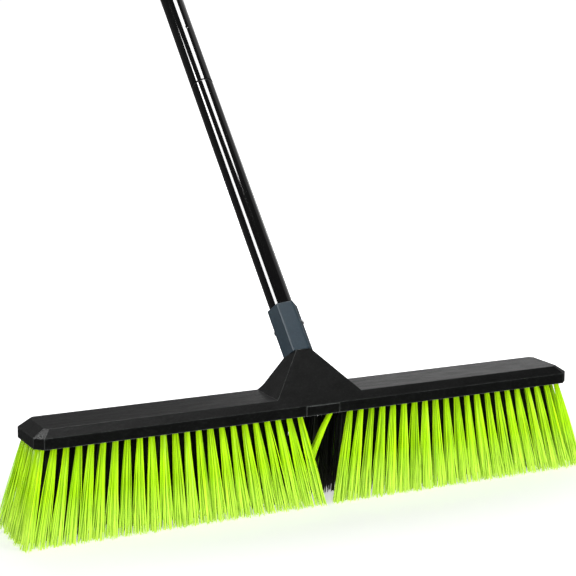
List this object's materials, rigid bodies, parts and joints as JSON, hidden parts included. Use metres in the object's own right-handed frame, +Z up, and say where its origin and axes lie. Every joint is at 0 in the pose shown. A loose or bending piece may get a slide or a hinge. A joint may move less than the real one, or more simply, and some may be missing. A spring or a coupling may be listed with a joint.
{
  "type": "push broom",
  "caption": "Wide push broom: black moulded block with a socket hood, green and black bristle tufts, and a slanted black tube handle in threaded sections with a grey collar and hanging cap.",
  "frame": {"origin": "middle of the block in X and Y, on the floor plane that the bristle tips stand on", "axes": "+X along the block to the right seen from the sweeping side, +Y towards the handle, +Z up"},
  "size_m": [0.6445, 1.1398, 1.3083],
  "materials": {
    "block_plastic": "fine-grained moulded polypropylene, satin",
    "collar_plastic": "slate blue-grey moulded plastic, satin",
    "cap_plastic": "slate blue-grey moulded plastic, satin",
    "green_bristle": "bright lime extruded filament",
    "black_bristle": "black extruded filament",
    "staple_steel": "flat galvanised wire",
    "rivet_steel": "bright domed rivet heads",
    "tube_paint": "gloss black baked enamel on thin steel tube",
    "insert_plastic": "black moulded plastic bush",
    "thread_plastic": "black moulded plastic with a coarse thread"
  },
  "bodies": {
    "head": {"back_tufts_left": "green_bristle", "back_tufts_right": "green_bristle", "broom_block": "block_plastic", "end_tufts_left": "green_bristle", "end_tufts_right": "green_bristle", "front_tufts_left": "green_bristle", "front_tufts_right": "green_bristle", "gap_tuft": "green_bristle", "inner_tufts_left": "black_bristle", "inner_tufts_right": "black_bristle", "middle_tufts": "black_bristle", "tuft_staples": "staple_steel"},
    "tip": {"threaded_tip": "thread_plastic"},
    "lower_handle": {"grip_collar": "collar_plastic", "collar_rivets": "rivet_steel", "tube_1": "tube_paint", "threaded_insert_1": "insert_plastic"},
    "plug_2": {"threaded_plug_2": "thread_plastic"},
    "section_2": {"tube_2": "tube_paint", "threaded_insert_2": "insert_plastic"},
    "plug_3": {"threaded_plug_3": "thread_plastic"},
    "section_3": {"tube_3": "tube_paint", "threaded_insert_3": "insert_plastic"},
    "plug_4": {"threaded_plug_4": "thread_plastic"},
    "section_4": {"tube_4": "tube_paint", "threaded_insert_4": "insert_plastic"},
    "plug_5": {"threaded_plug_5": "thread_plastic"},
    "section_5": {"tube_5": "tube_paint", "hang_cap": "cap_plastic"}
  },
  "joints": [
    {"name": "socket_thread_lift", "type": "slide", "parent": "head", "child": "tip", "axis": [0, 0.6774, 0.7356], "range_m": [0, 0.0254]},
    {"name": "socket_thread_turn", "type": "hinge", "parent": "tip", "child": "lower_handle", "pos_m": [0, 0.02305, 0.14331], "axis": [0, 0.6774, 0.7356], "range_deg": [0, 1800]},
    {"name": "tube_thread_2_lift", "type": "slide", "parent": "lower_handle", "child": "plug_2", "axis": [0, 0.6774, 0.7356], "range_m": [0, 0.024]},
    {"name": "tube_thread_2_turn", "type": "hinge", "parent": "plug_2", "child": "section_2", "pos_m": [0, 0.26447, 0.40548], "axis": [0, 0.6774, 0.7356], "range_deg": [0, 2160]},
    {"name": "tube_thread_3_lift", "type": "slide", "parent": "section_2", "child": "plug_3", "axis": [0, 0.6774, 0.7356], "range_m": [0, 0.024]},
    {"name": "tube_thread_3_turn", "type": "hinge", "parent": "plug_3", "child": "section_3", "pos_m": [0, 0.46654, 0.62492], "axis": [0, 0.6774, 0.7356], "range_deg": [0, 2160]},
    {"name": "tube_thread_4_lift", "type": "slide", "parent": "section_3", "child": "plug_4", "axis": [0, 0.6774, 0.7356], "range_m": [0, 0.024]},
    {"name": "tube_thread_4_turn", "type": "hinge", "parent": "plug_4", "child": "section_4", "pos_m": [0, 0.6686, 0.84436], "axis": [0, 0.6774, 0.7356], "range_deg": [0, 2160]},
    {"name": "tube_thread_5_lift", "type": "slide", "parent": "section_4", "child": "plug_5", "axis": [0, 0.6774, 0.7356], "range_m": [0, 0.024]},
    {"name": "tube_thread_5_turn", "type": "hinge", "parent": "plug_5", "child": "section_5", "pos_m": [0, 0.87067, 1.06379], "axis": [0, 0.6774, 0.7356], "range_deg": [0, 2160]}
  ],
  "couplings": [
    {"joint": "socket_thread_lift", "follows": "socket_thread_turn", "m_per_rad": 0.00080851},
    {"joint": "tube_thread_2_lift", "follows": "tube_thread_2_turn", "m_per_rad": 0.00063662},
    {"joint": "tube_thread_3_lift", "follows": "tube_thread_3_turn", "m_per_rad": 0.00063662},
    {"joint": "tube_thread_4_lift", "follows": "tube_thread_4_turn", "m_per_rad": 0.00063662},
    {"joint": "tube_thread_5_lift", "follows": "tube_thread_5_turn", "m_per_rad": 0.00063662}
  ]
}
